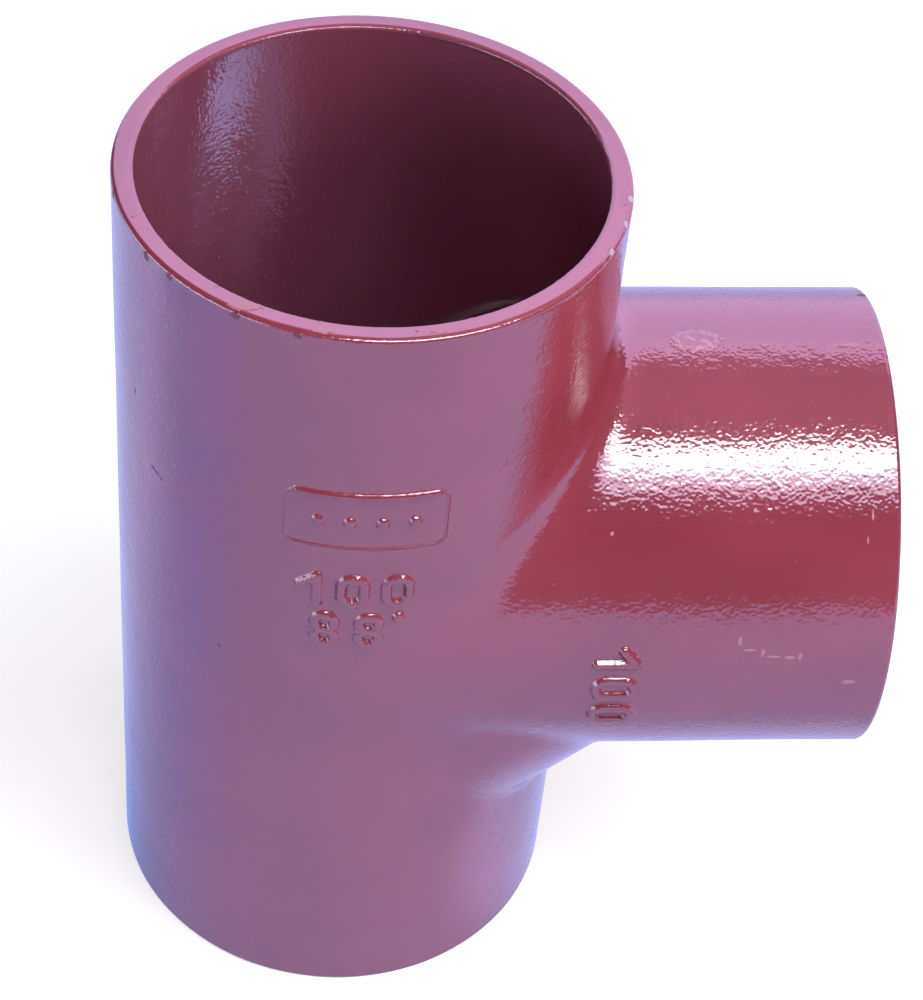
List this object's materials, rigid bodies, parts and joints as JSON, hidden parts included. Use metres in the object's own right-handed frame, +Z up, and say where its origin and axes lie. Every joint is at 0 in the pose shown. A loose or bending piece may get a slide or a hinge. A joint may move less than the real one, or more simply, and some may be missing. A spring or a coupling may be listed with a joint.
{
  "type": "soil pipe branch",
  "caption": "Hubless cast-iron soil pipe branch: a straight run with a near-square inlet of the same bore and a swept heel below it, painted red oxide.",
  "frame": {"origin": "centre of the run's lower end, on the run's axis", "axes": "+Z up the run; the inlet points towards +X and rises 2 degrees; the raised figures face -Y"},
  "size_m": [0.1795, 0.1123, 0.22],
  "materials": {
    "painted_iron": "glossy red oxide paint over cast iron, inside and out"
  },
  "bodies": {
    "root": {"branch_casting": "painted_iron"}
  },
  "joints": []
}
